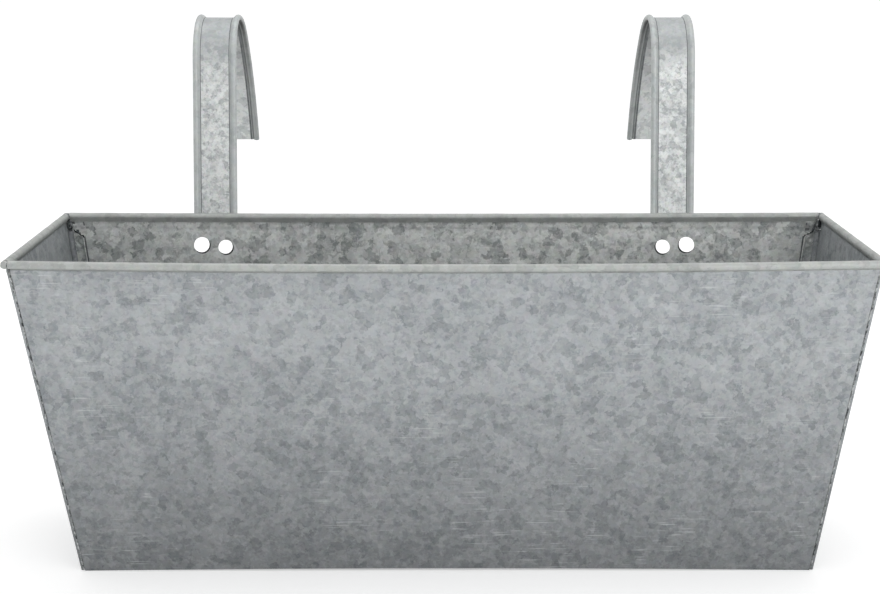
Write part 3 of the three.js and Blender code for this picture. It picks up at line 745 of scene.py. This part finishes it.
class PLANTER_OT_stage(bpy.types.Operator):
    """Sets up the floor, the light and the camera"""

    bl_idname = "planter.stage"
    bl_label = "Stage"

    def execute(self, context):
        studio = context.scene.planter_studio
        self.camera(context, studio)
        self.floor(context, studio)
        self.world(context, studio)
        self.softbox(context, "key", (0.8, -1.1, 0.62), (0.05, 0, 0.2), (1.3, 0.7), studio.key)
        self.softbox(context, "top", (0.0, 0.25, 1.7), (0, 0, 0.1), (1.6, 0.8), studio.top)
        context.scene.view_settings.view_transform = "Standard"
        return {"FINISHED"}

    def camera(self, context, studio):
        lens = bpy.data.cameras.new("camera")
        lens.lens = studio.lens
        lens.sensor_width = 36.0
        camera = bpy.data.objects.new("camera", lens)
        camera.location = Vector((-5.5, -1137.8, 459.4)) * MM
        camera.rotation_euler = (math.pi / 2 - studio.pitch, 0.0, -studio.yaw)
        context.scene.collection.objects.link(camera)
        context.scene.camera = camera

    def floor(self, context, studio):
        """A matt white floor, lit by the studio, that also shows its own white."""
        half = 30.0
        bm = bmesh.new()
        add_grid(bm, [[Vector((x, y, 0)) for x in (-half, half)] for y in (-half, half)])
        floor = add_object("floor", bm)
        material, tree = new_material("matt_white_floor")
        own = {0: seen_directly(tree), 1: studio.glow}
        glow = add_node(tree, "ShaderNodeMath", own, operation="MULTIPLY").outputs[0]
        skin = {"Base Color": (*studio.floor, 1.0), "Roughness": 0.9}
        skin.update({"Emission Color": (1, 1, 1, 1), "Emission Strength": glow})
        paint = add_node(tree, "ShaderNodeBsdfPrincipled", skin).outputs[0]
        add_node(tree, "ShaderNodeOutputMaterial", {"Surface": paint})
        floor.data.materials.append(material)

    def world(self, context, studio):
        """An even sky, which the camera, metal and glass see as white."""
        world = bpy.data.worlds.new("studio")
        world.use_nodes = True
        tree = world.node_tree
        tree.nodes.clear()
        ends = {"Value": seen_directly(tree), "To Min": studio.sky, "To Max": 1.0}
        strength = add_node(tree, "ShaderNodeMapRange", ends).outputs[0]
        white = {"Color": (1, 1, 1, 1), "Strength": strength}
        light = add_node(tree, "ShaderNodeBackground", white).outputs[0]
        add_node(tree, "ShaderNodeOutputWorld", {"Surface": light})
        context.scene.world = world

    def softbox(self, context, name, place, aim, size, power):
        lamp = bpy.data.lights.new(name, "AREA")
        lamp.shape = "RECTANGLE"
        lamp.size, lamp.size_y = size
        lamp.energy = power
        softbox = bpy.data.objects.new(name, lamp)
        softbox.location = place
        towards = Vector(aim) - Vector(place)
        softbox.rotation_euler = towards.to_track_quat("-Z", "Y").to_euler()
        context.scene.collection.objects.link(softbox)


class PLANTER_OT_long_walls(bpy.types.Operator):
    """Builds the front and back walls with their rolled rims"""

    bl_idname = "planter.long_walls"
    bl_label = "Long walls"

    def execute(self, context):
        hook = hook_form(context)
        form = hook.form
        s = form.settings

        def over_flange(centre, normal):
            """Painted shadow under a back flange's lifted top edge, wider towards the corner."""
            width = form.outer_x(centre.z) - abs(centre.x)
            above = centre.z - form.flange_top(width)
            reach = blend(2.4 * MM, 0.9 * MM, width / (8 * MM))
            return normal.y < -0.2 and width < s.flange_width and -1 * MM < above < reach

        def in_creases(centre, normal):
            """Painted shade in the deepest creases under the rim, and a painted shadow along a
            flange's free edge.
            """
            width = form.outer_x(centre.z) - abs(centre.x)
            over = centre.z > form.flange_top(width)
            beside = not over and 0 < width - s.flange_width < CREASE_STEP
            deep = over and width < 14 * MM and crease_at(centre) < -0.35
            return normal.y < -0.2 and centre.z < form.neck_height and (beside or deep)

        front = [(rolled_zinc(), form.on_roll)]
        self.wall(form, "front_wall", "front_panel", -1, (), sheet_zinc(0.0, 0.0, 0.0), front)
        cores = [hook.core(end, *hole) for _, end in HANDS for hole in hook.wall_holes()]
        # The back roll is a darker copy of the rim's zinc: painted shade
        back = [(rolled_zinc(0.93), form.on_roll), (shade_painted_zinc(0.45), in_creases)]
        back.append((very_dark_zinc(), over_flange))
        inside = zinc("sheltered_galvanised_sheet", (0.31, 0.17, 0.05))
        self.wall(form, "back_wall", "back_panel", 1, cores, inside, back)
        return {"FINISHED"}

    def wall(self, form, name, node, side, cores, material, others):
        bm = bmesh.new()
        rows = []
        for out, z, rolled in form.long_line(side):
            row = []
            for share in along_steps(form.wire_x):
                if rolled:
                    reach = rolled_reach(form, form.wire_x, form.wire_y, out)
                else:
                    ragged = 0.35 * MM * ripple(z / (9 * MM), side, math.copysign(5, share))
                    reach = form.outer_x(z) - form.reveal(side)
                    reach += min(0, ragged * (abs(share) == 1))
                along = share * reach
                point = shaped(form, out, z, rolled, along, share, form.wire_y, 11.0 * side)
                if not rolled and side > 0:
                    point.x -= abs(hammered(form, z, reach - abs(along), along, 11.0))
                row.append(Vector((along, side * point.x, point.y)))
            rows.append(row)
        add_grid(bm, rows)
        thickness = form.settings.sheet
        make_piece(form, name, bm, material, node, thickness, cores, others)


class PLANTER_OT_end_walls(bpy.types.Operator):
    """Builds the short walls, with the flanges that fold in behind the long ones"""

    bl_idname = "planter.end_walls"
    bl_label = "End walls"

    def execute(self, context):
        form = TroughForm(context.scene.planter_trough)
        s = form.settings

        def on_flange(centre, normal):
            """The flanges at the back."""
            clear = abs(centre.x) < form.outer_x(centre.z) - s.back_fold
            return clear and centre.y > form.lap_y(centre.z) - 3 * MM and normal.y < 0

        def in_fold(centre, normal):
            """The hollow side of the folds at the back, where shade is painted."""
            deep = centre.y > form.lap_y(centre.z) - s.back_fold
            near = abs(centre.x) > form.outer_x(centre.z) - 1.3 * s.back_fold
            hollow = normal.y - abs(normal.x) < -0.1 and normal.x * centre.x < 0.1 * MM
            return deep and near and hollow

        # The end rolls are a darker copy of the rim's zinc: painted shade
        others = [(rolled_zinc(0.9), form.on_roll)]
        others.append((zinc("sheltered_galvanised_sheet", (0.11, 0.7, 0.35)), on_flange))
        others.append((shade_painted_zinc(0.7), in_fold))
        for hand, end in HANDS:
            bm = bmesh.new()
            self.plate(bm, form, end)
            for side in (-1, 1):
                self.corner(bm, form, end, side)
            name, node = f"{hand}_end_wall", f"{hand}_end_panel"
            material = sheet_zinc(0.9 + 0.4 * end, 0.6, 0.2)
            make_piece(form, name, bm, material, node, s.sheet, (), others)
        return {"FINISHED"}

    def plate(self, bm, form, end):
        rows = []
        for out, z, rolled in form.end_line():
            row = []
            for share in along_steps(form.wire_y):
                if rolled:
                    reach = rolled_reach(form, form.wire_y, form.wire_x, out)
                else:
                    folded = z <= form.flange_top(0)
                    reach = form.lap_y(z) - form.fold(share if folded else -1)
                along = share * reach
                point = shaped(form, out, z, rolled, along, share, form.wire_x, 23.0 * end)
                row.append(Vector((end * point.x, along, point.y)))
            rows.append(row)
        add_grid(bm, rows)

    def corner(self, bm, form, end, side):
        """The fold at a plate's edge and the flange beyond it, on the plate's own rows of points."""
        s = form.settings
        fold = form.fold(side)
        heights = [z for _, z, rolled in form.end_line() if not rolled and z <= form.flange_top(0)]
        across = steps(fold, s.flange_width, CREASE_STEP)
        rows = []
        for z in heights:
            row = []
            for angle in steps(0, math.pi / 2, FOLD_STEP):
                bend = polar(fold - s.sheet / 2, angle)
                out = form.outer_x(z) - fold + bend.x
                row.append(Vector((end * out, side * (form.lap_y(z) - fold + bend.y), z)))
            for width in across[1:]:
                share = (width - fold) / (s.flange_width - fold)
                high = form.flange_top(width) + MM * share * ripple(width / (3 * MM), end, side)
                low = s.flange_foot if width > 0.7 * s.tray_slot else form.foot
                rise = (z - form.foot) / (heights[-1] - form.foot)
                level = low + (high - low) * rise
                creased = math.exp(-((high - level) / (9 * MM))) * min(1.0, 2.5 * share)
                crease = crease_at(Vector((width, 3.0 * end + side, level)))
                lift = s.flange_lift * share**5
                lift += 0.8 * s.crumple * creased * (0.5 + 0.5 * crease)
                place = Vector((end * (form.outer_x(level) - width), 0, level))
                place.y = side * (form.lap_y(level) - s.sheet / 2 - lift)
                row.append(place)
            rows.append(row)
        add_grid(bm, rows)


class PLANTER_OT_base(bpy.types.Operator):
    """Builds the base tray with its upturned edges and drain holes"""

    bl_idname = "planter.base"
    bl_label = "Base"

    def execute(self, context):
        form = TroughForm(context.scene.planter_trough)
        s = form.settings
        half_x, half_y = form.lap_x(0) - s.tray_fold, form.lap_y(0) - s.tray_fold
        slot_x, slot_y = form.outer_x(0) - s.tray_slot, form.outer_y(0) - s.tray_slot
        across = steps(-slot_y, slot_y, SHEET_STEP)
        edge = self.edge(form, form.lap_y, half_y)
        flat = [(y, s.sheet / 2) for y in across]
        bm = bmesh.new()
        rows = []
        for y, z in [(-y, z) for y, z in reversed(edge)] + flat + edge:
            reach = half_x if z < s.sheet else slot_x
            rows.append([Vector((x * reach, y, z)) for x in steps(-1, 1, SHEET_STEP / half_x)])
        add_grid(bm, rows)
        edge = self.edge(form, form.lap_x, half_x)
        for _, end in HANDS:
            add_grid(bm, [[Vector((end * x, y, z)) for y in across] for x, z in edge])
        cores = []
        for place in (-1.5, -0.5, 0.5, 1.5):
            centre = Matrix.Translation((place * s.drain_pitch, 0, 0))
            cores.append(drill(s.drain_hole, centre @ Matrix.Rotation(math.pi / 2, 4, "X")))
        material = sheet_zinc(0.5, 0.9, 0.4)
        make_piece(form, "base_pan", bm, material, "base_tray", s.sheet, cores)
        return {"FINISHED"}

    def edge(self, form, lap_at, half):
        """Middle line of an upturned edge, from its fold up: (place out, height)."""
        s = form.settings
        bends = [polar(s.tray_fold - s.sheet / 2, a) for a in steps(-math.pi / 2, 0, FOLD_STEP)]
        upright = [(lap_at(z) - s.sheet / 2, z) for z in (0.5 * s.tray_flange, s.tray_flange)]
        return [(half + p.x, s.tray_fold + p.y) for p in bends] + upright


class PLANTER_OT_rim_wire(bpy.types.Operator):
    """Builds the wire that the rim is rolled over"""

    bl_idname = "planter.rim_wire"
    bl_label = "Rim wire"

    def execute(self, context):
        form = TroughForm(context.scene.planter_trough)
        bend = form.settings.wire_bend
        half_joint = 0.3 * MM
        step = 20 * MM
        corner_x, corner_y = form.wire_x - bend, form.wire_y - bend
        up = math.pi / 2
        stations = [(x, form.wire_y, up) for x in steps(half_joint, corner_x, step)[:-1]]
        for sx, sy, start in ((1, 1, 90), (1, -1, 0), (-1, -1, -90), (-1, 1, -180)):
            if (sx, sy) == (-1, -1):
                front = steps(corner_x, -corner_x, step)[1:-1]
                stations += [(x, -form.wire_y, -up) for x in front]
            for a in steps(math.radians(start), math.radians(start - 90), FOLD_STEP / 2):
                at = polar(bend, a)
                stations.append((sx * corner_x + at.x, sy * corner_y + at.y, a))
        stations += [(x, form.wire_y, up) for x in steps(-corner_x, -half_joint, step)[1:]]
        rings = []
        for x, y, heading in stations:
            ring = []
            for angle in round_steps(15):
                section = polar(form.wire_radius, angle)
                out = polar(section.x, heading)
                ring.append(Vector((x + out.x, y + out.y, form.wire_z + section.y)))
            rings.append(ring)
        bm = bmesh.new()
        add_tube(bm, rings)
        make_piece(form, "rim_rod", bm, wire_zinc(), "rim_wire")
        return {"FINISHED"}


class PLANTER_OT_solder(bpy.types.Operator):
    """Runs solder down the corner laps and over the bends of the rim wire"""

    bl_idname = "planter.solder"
    bl_label = "Solder"

    def execute(self, context):
        form = TroughForm(context.scene.planter_trough)
        material = zinc("wiped_soft_solder", (0.2, 0, 0))

        def on_knob(centre, normal):
            """The wiped, pale outside of a knob. Where it meets the rolls it stays dark."""
            outside = min(abs(centre.x) - form.wire_x, abs(centre.y) - form.wire_y) > -1.3 * MM
            return outside and centre.z > form.neck_height + 0.6 * MM

        others = [(rolled_zinc(), on_knob)]
        for hand, end in HANDS:
            for face, side in (("front", -1), ("back", 1)):
                bm = bmesh.new()
                self.run(bm, form, end, side)
                below = form.wire_z - 6.6 * MM
                self.lump(bm, form, end, side, below, (2.5, 2.4, 5.2), squareness=2.4, sunk=2.6)
                knob = (2.85, 2.85, 3.0)
                self.lump(bm, form, end, side, form.wire_z, knob, squareness=7.0, sunk=0.0)
                name, node = f"{face}_{hand}_solder_run", f"{face}_{hand}_corner_solder"
                make_piece(form, name, bm, material, node, others=others)
        return {"FINISHED"}

    def run(self, bm, form, end, side):
        """A lumpy fillet in the step between a long wall's edge and the folded corner."""
        rings = []
        for z in steps(form.foot + 0.3 * MM, form.wire_z - 2 * MM, 0.8 * MM):
            jag = ripple(z / (1.7 * MM), 9.0 * side, 5.0 * end)
            lump = ripple(z / (4 * MM), 6.0 * side, 4.0 * end)
            swell = ripple(z / (14 * MM), 2.0 * side, 8.0 * end)
            size = 1.0 + 0.5 * jag + 0.5 * lump + 0.3 * swell
            inner = form.outer_x(z) - form.reveal(side) + 0.3 * MM
            out = form.lap_y(z) + (0.25 * MM if side < 0 else -0.2 * MM)
            ring = []
            for x, y in ((0, 0), (1.2, 0), (0.7, 0.3), (0.35, 0.5), (0, 0.62)):
                along = min(inner + x * size * MM, form.outer_x(z) - 0.4 * MM)
                ring.append(Vector((end * along, side * (out + y * size * MM), z)))
            rings.append(ring)
        add_tube(bm, rings)

    def lump(self, bm, form, end, side, level, radii, squareness, sunk):
        """A lump of solder at a rim corner: on the wire's bend, or sunk so many mm into the corner.

        radii are in mm, and a squareness of 2 makes it round.
        """
        radius = Vector(radii) * MM
        if sunk:
            hub = Vector((form.outer_x(level), form.outer_y(level), level))
            hub -= Vector((sunk, sunk, 0)) * MM
        else:
            outer = form.roll_outside - 0.1 * MM
            hub = Vector((form.wire_x + outer - radius.x, form.wire_y + outer - radius.y, level))
        rings = []
        for latitude in steps(math.radians(-84), math.radians(84), math.radians(14)):
            ring = []
            for angle in round_steps(12):
                flat = polar(1, angle)
                size = (abs(flat.x) ** squareness + abs(flat.y) ** squareness) ** (-1 / squareness)
                offset = Vector((flat.x, flat.y, 0)) * size * math.cos(latitude) ** 0.6
                offset.z = math.sin(latitude)
                uneven = noise.noise(offset * 1.7 + Vector((3.0 * end, 7.0 * side, sunk)))
                at = hub + offset * radius * (1 - 0.10 * (1 + uneven))
                ring.append(Vector((end * at.x, side * at.y, at.z)))
            rings.append(ring)
        add_tube(bm, rings)


class HookForm:
    """Where a hook's parts lie. Places across are measured outboard from the trough's middle."""

    def __init__(self, form, settings):
        self.form = form
        self.settings = settings
        self.middle = settings.spacing / 2
        roll = settings.wire / 2 + form.settings.seat + settings.thickness / 2
        outer_roll = roll + settings.thickness / 2
        rim = form.wire_y + form.roll_outside
        self.arm_y = rim + settings.to_rim + outer_roll + settings.wire_offset
        self.wire_across = settings.width / 2 - outer_roll
        offset, neck = settings.wire_offset, settings.neck
        self.roll_line = rolled_line(roll, settings.thickness, offset, 0.0, neck, settings.curl_end)
        self.web = self.wire_across + self.roll_line[0].y

    def line(self):
        """Middle of the strap from the side: points (y, z) with headings, from the arm's foot."""
        s = self.settings
        heading = math.pi / 2 - s.lean
        rise = polar(1, heading)
        crook = Vector((self.arm_y, self.form.wire_z))
        foot = crook - rise * (s.roll_tail / math.cos(s.lean))
        top = crook + rise * s.arm
        stations = [(foot.lerp(top, t), heading) for t in steps(0, 1, SHEET_STEP / s.arm)]
        at = top
        for radius, bend, step in (
            (s.front_radius, heading, 4),
            (s.back_radius, s.back_turn, 4),
            (s.leg_radius, s.leg_turn, 1.5),
        ):
            centre = at + polar(radius, heading - math.pi / 2)
            for now in steps(heading, heading - bend, math.radians(step))[1:]:
                stations.append((centre + polar(radius, now + math.pi / 2), now))
            heading -= bend
            at = stations[-1][0]
        return stations

    def place(self, end, across, out, station):
        """A point of the strap's section: across its width and out of the arch."""
        point, heading = station
        shift = polar(out, heading + math.pi / 2)
        return Vector((end * (self.middle + across), point.x + shift.x, point.y + shift.y))

    def on_wall(self, z):
        """Middle of the tongue, on the outside of the back wall."""
        out = self.form.outer_y(z) + self.form.settings.seat + self.settings.thickness / 2
        return Vector((out, z))

    def wall_holes(self):
        """Tie holes in the back wall: place across, height and diameter."""
        s, rim = self.settings, self.form.rim_height
        pair = self.middle + s.holes_outboard
        return (
            (pair + s.hole_spacing / 2, rim - s.hole_outer_drop, s.hole_outer),
            (pair - s.hole_spacing / 2, rim - s.hole_inner_drop, s.hole_inner),
        )

    def tongue_holes(self):
        """The tongue's own tie holes, a little smaller and off centre."""
        off, less = self.settings.hole_misfit, self.settings.hole_undersize
        return [(x + off, z + off, diameter - less) for x, z, diameter in self.wall_holes()]

    def rivets(self):
        """Place across and height of each rivet."""
        s = self.settings
        return {
            "outer": (self.middle + s.rivet_pitch / 2, s.rivet_upper),
            "inner": (self.middle - s.rivet_pitch / 2, s.rivet_upper),
            "lower": (self.middle, s.rivet_lower),
        }

    def square_to_wall(self, x, z):
        """The place and turn of something whose own +Y axis stands square to the back wall."""
        place = Matrix.Translation((x, self.form.outer_y(z), z))
        return place @ Matrix.Rotation(-self.form.back_lean, 4, "X")

    def core(self, end, across, z, diameter):
        """A cutter for a round hole through the back wall or the tongue."""
        return drill(diameter, self.square_to_wall(end * across, z))


def hook_form(context):
    """The form of the hooks, which holds the trough's."""
    return HookForm(TroughForm(context.scene.planter_trough), context.scene.planter_hook)


class PLANTER_OT_hook_straps(bpy.types.Operator):
    """Builds the two straps with their rolled edges, and the tongue that lies on the back wall"""

    bl_idname = "planter.hook_straps"
    bl_label = "Hook straps"

    def execute(self, context):
        hook = hook_form(context)
        form = hook.form
        s = hook.settings
        arm = hook.line()
        crown = max((point for point, _ in arm), key=lambda point: point.y).x

        def in_lap(centre, normal):
            """All of the tongue but its outside."""
            return centre.z < form.wire_z - s.joggle_bottom and normal.y < 0.5

        def across(centre):
            """How far a place lies outside the web, in mm."""
            return (abs(abs(centre.x) - hook.middle) - hook.web) / MM

        def in_arch(centre, normal):
            """Whether a face looks to the inside of the arch."""
            inside = normal.y > 0 if centre.y < crown else normal.z < 0
            return centre.z > form.rim_height and inside

        def on_roll(centre, normal):
            return centre.z > form.rim_height and across(centre) > 0

        def on_inner_roll(centre, normal):
            return in_arch(centre, normal) and across(centre) > 0

        def beside_roll(centre, normal):
            """A line of painted shade along each roll: in its neck, and wider on the inside of the
            arch.
            """
            low, high = (-1.6, 0) if in_arch(centre, normal) else (-0.2, 0.45)
            return centre.z > form.rim_height and low < across(centre) < high

        others = [
            (very_dark_zinc(), in_lap),
            # The inside of the arch takes smooth strap zinc at 1.1 of its brightness, which is painted
            # light, and painted shade where it faces down
            (rolled_zinc(1.1, "strap", 0.25), in_arch),
            (rolled_zinc(0.96, "edge"), on_roll),
            # The rolls inside the arch are a darker copy of the edge zinc: painted shade, darkest
            # where they face down
            (rolled_zinc(0.7, "edge", 0.05), on_inner_roll),
            (shade_painted_zinc(0.45), beside_roll),
        ]
        shares = steps(-1, 1, 1 / 8)
        for hand, end in HANDS:
            bm = bmesh.new()
            web = [[hook.place(end, share * hook.web, 0, at) for share in shares] for at in arm]
            add_grid(bm, self.tongue(hook, end, shares) + web)
            for edge in (-1, 1):
                add_grid(bm, [self.roll(hook, end, edge, at) for at in arm])
            cores = [hook.core(end, *hole) for hole in hook.tongue_holes()]
            material = zinc("hot_dip_galvanised_strip", (0.3 * end, 0.4, 0.1))
            name, node = f"{hand}_hook", f"{hand}_hook_strap"
            make_piece(form, name, bm, material, node, s.thickness, cores, others)
        return {"FINISHED"}

    def roll(self, hook, end, edge, station):
        """One row round an edge roll, from the web over the arch's outside to the roll's own edge."""
        out = hook.settings.wire_offset
        line = hook.roll_line
        return [hook.place(end, edge * (hook.wire_across + p.y), out - p.x, station) for p in line]

    def tongue(self, hook, end, shares):
        """Rows of the tongue, from its lower end up to the arm."""
        s = hook.settings
        form = hook.form
        half = s.tongue_width / 2
        rise = polar(1, math.pi / 2 - s.lean)
        wall = polar(1, math.pi / 2 - form.back_lean)
        top = Vector((hook.arm_y, form.wire_z)) - rise * s.joggle_top
        foot = hook.on_wall(form.wire_z - s.joggle_bottom)
        a, b, c, d = foot, foot + wall * s.joggle_handle, top - rise * s.joggle_handle, top
        stations = []
        for angle in steps(math.pi / 2, 0, math.radians(7.5)):
            bend = polar(s.tongue_round, angle)
            at = hook.on_wall(s.tongue_end + s.tongue_round - bend.y)
            stations.append((at, half - s.tongue_round + bend.x))
        for z in steps(s.tongue_end + s.tongue_round, foot.y, SHEET_STEP)[1:-1]:
            stations.append((hook.on_wall(z), half))
        for t in steps(0, 1, 1 / 14)[:-1]:
            u = 1 - t
            at = a * u**3 + b * 3 * u * u * t + c * 3 * u * t * t + d * t**3
            stations.append((at, half + (hook.web - half) * t * t * (3 - 2 * t)))
        rows = []
        for at, width in stations:
            rows.append([Vector((end * (hook.middle + v * width), at.x, at.y)) for v in shares])
        return rows


class PLANTER_OT_hook_wires(bpy.types.Operator):
    """Builds the wires inside the hooks' rolled edges"""

    bl_idname = "planter.hook_wires"
    bl_label = "Hook wires"

    def execute(self, context):
        hook = hook_form(context)
        s = hook.settings
        circle = [polar(s.wire / 2, angle) for angle in round_steps(22.5)]
        for hand, end in HANDS:
            for place, edge in (("outer", 1), ("inner", -1)):
                rings = []
                for at in hook.line():
                    middle, out = edge * hook.wire_across, s.wire_offset
                    rings.append([hook.place(end, middle + p.x, out + p.y, at) for p in circle])
                bm = bmesh.new()
                add_tube(bm, rings)
                name, node = f"{hand}_hook_{place}_rod", f"{hand}_hook_{place}_wire"
                make_piece(hook.form, name, bm, wire_zinc(), node)
        return {"FINISHED"}


class PLANTER_OT_rivets(bpy.types.Operator):
    """Builds the rivets that hold the hooks to the back wall"""

    bl_idname = "planter.rivets"
    bl_label = "Rivets"

    def execute(self, context):
        hook = hook_form(context)
        material = wire_zinc()
        for hand, end in HANDS:
            for place, (x, z) in hook.rivets().items():
                bm = bmesh.new()
                self.rivet(bm, hook)
                bm.transform(hook.square_to_wall(end * x, z))
                name, node = f"{hand}_hook_{place}_rivet", f"{hand}_hook_rivet_{place}"
                make_piece(hook.form, name, bm, material, node)
        return {"FINISHED"}

    def rivet(self, bm, hook):
        """Two domed heads and a shank, along +Y from inside the trough to the outside."""
        s, t = hook.settings, hook.form.settings
        inside = -(t.sheet + t.seat)
        outside = 2 * t.seat + s.thickness
        dome = [polar(1, angle) for angle in steps(0, math.pi / 2, math.radians(11.25))]
        head, shank = s.rivet_head / 2, s.rivet_shank / 2
        profile = [(head * p.x, inside - s.rivet_rise * p.y) for p in reversed(dome)]
        profile += [(shank, inside), (shank, outside)]
        profile += [(head * p.x, outside + s.rivet_rise * p.y) for p in dome]
        rings = []
        for radius, y in profile:
            circle = [polar(max(radius, 0.01 * MM), angle) for angle in round_steps(12)]
            rings.append([Vector((p.x, y, p.y)) for p in circle])
        add_tube(bm, rings)


class PLANTER_PT_panel(bpy.types.Panel):
    """Lists the planter's parts and settings in the sidebar"""

    bl_idname = "PLANTER_PT_panel"
    bl_label = "Window box planter"
    bl_space_type = "VIEW_3D"
    bl_region_type = "UI"
    bl_category = "Planter"

    def draw(self, context):
        for operator in OPERATORS:
            self.layout.operator(operator.bl_idname)
        for name in SETTINGS:
            group = getattr(context.scene, name)
            box = self.layout.box()
            for key in group.__annotations__:
                box.prop(group, key)


SETTINGS = {
    "planter_trough": TroughSettings,
    "planter_hook": HookSettings,
    "planter_finish": FinishSettings,
    "planter_studio": StudioSettings,
}
OPERATORS = (
    PLANTER_OT_stage,
    PLANTER_OT_long_walls,
    PLANTER_OT_end_walls,
    PLANTER_OT_base,
    PLANTER_OT_rim_wire,
    PLANTER_OT_solder,
    PLANTER_OT_hook_straps,
    PLANTER_OT_hook_wires,
    PLANTER_OT_rivets,
)
CLASSES = (*SETTINGS.values(), *OPERATORS, PLANTER_PT_panel)


def register():
    for cls in CLASSES:
        bpy.utils.register_class(cls)
    for name, group in SETTINGS.items():
        setattr(bpy.types.Scene, name, PointerProperty(type=group))


def unregister():
    for name in SETTINGS:
        delattr(bpy.types.Scene, name)
    for cls in reversed(CLASSES):
        bpy.utils.unregister_class(cls)


def main():
    """Builds everything."""
    register()
    for operator in OPERATORS:
        group, name = operator.bl_idname.split(".")
        getattr(getattr(bpy.ops, group), name)()


if __name__ == "__main__":
    main()
